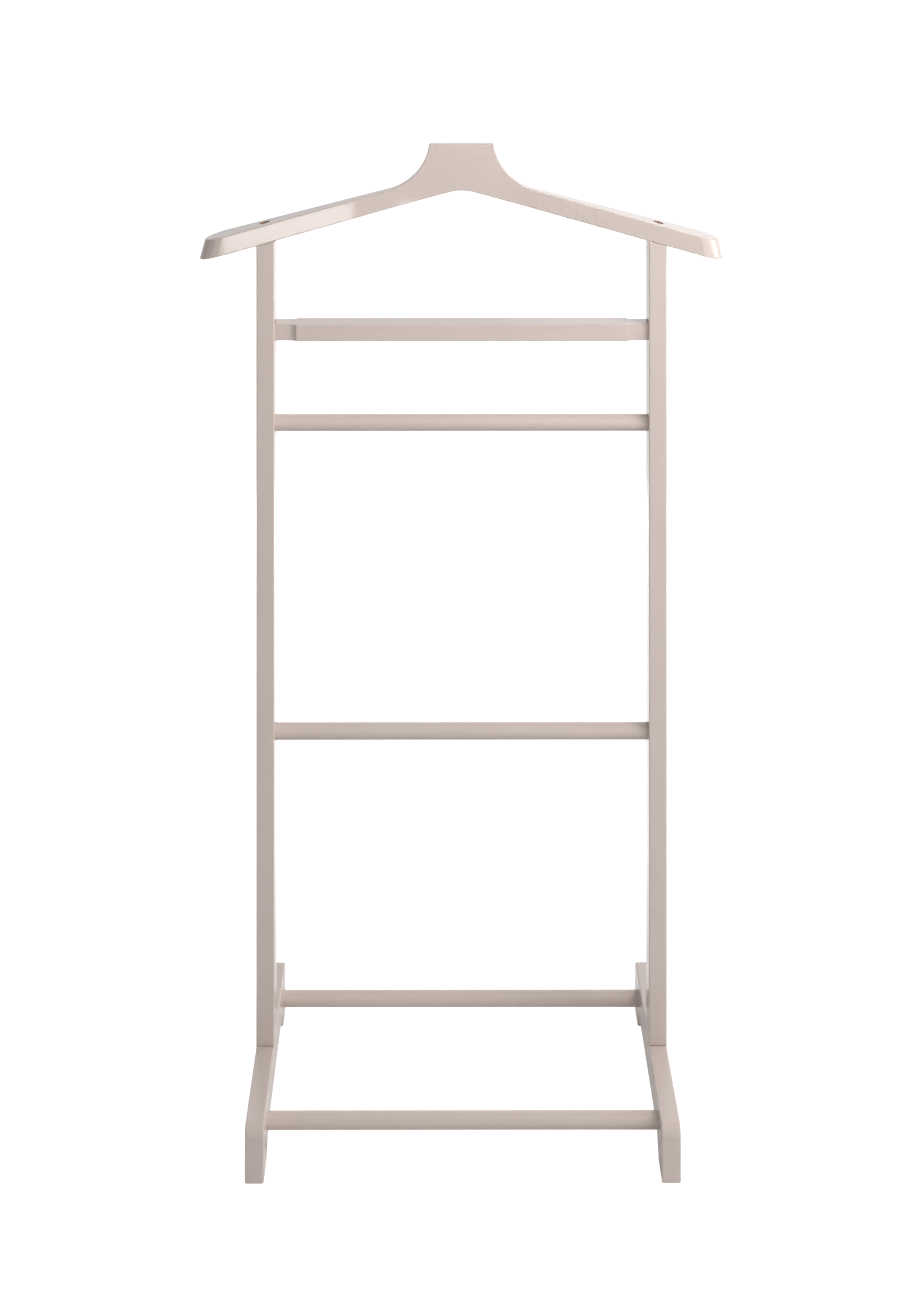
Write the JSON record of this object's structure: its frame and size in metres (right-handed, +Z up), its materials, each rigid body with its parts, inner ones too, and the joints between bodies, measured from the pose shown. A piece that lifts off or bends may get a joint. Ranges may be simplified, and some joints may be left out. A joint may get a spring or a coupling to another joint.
{
  "type": "clothes valet stand",
  "caption": "Free-standing wooden clothes valet: sled feet, two posts, a shoulder hanger, a flat trouser bar and round rails between the posts.",
  "frame": {"origin": "on the floor, under the middle of the base", "axes": "+Z up, -Y towards the front of the stand, +X to the right as seen from the front"},
  "size_m": [0.569, 0.343, 1.028],
  "materials": {
    "painted_wood": "satin paint in a pale warm taupe, with a faint grain and a soft sheen",
    "screw_steel": "bright zinc-plated steel",
    "dowel_wood": "bare beech"
  },
  "bodies": {
    "root": {"left_foot": "painted_wood", "right_foot": "painted_wood", "left_post": "painted_wood", "right_post": "painted_wood", "hanger": "painted_wood", "trouser_bar": "painted_wood", "upper_rail": "painted_wood", "lower_rail": "painted_wood", "front_stretcher": "painted_wood", "rear_stretcher": "painted_wood", "left_hanger_screw": "screw_steel", "right_hanger_screw": "screw_steel", "left_upper_rail_screw": "screw_steel", "right_upper_rail_screw": "screw_steel", "left_lower_rail_screw": "screw_steel", "right_lower_rail_screw": "screw_steel", "left_front_stretcher_screw": "screw_steel", "right_front_stretcher_screw": "screw_steel", "left_rear_stretcher_screw": "screw_steel", "right_rear_stretcher_screw": "screw_steel", "left_post_screw": "screw_steel", "right_post_screw": "screw_steel", "left_post_pins": "dowel_wood", "right_post_pins": "dowel_wood", "left_bar_pins": "dowel_wood", "right_bar_pins": "dowel_wood"}
  },
  "joints": []
}
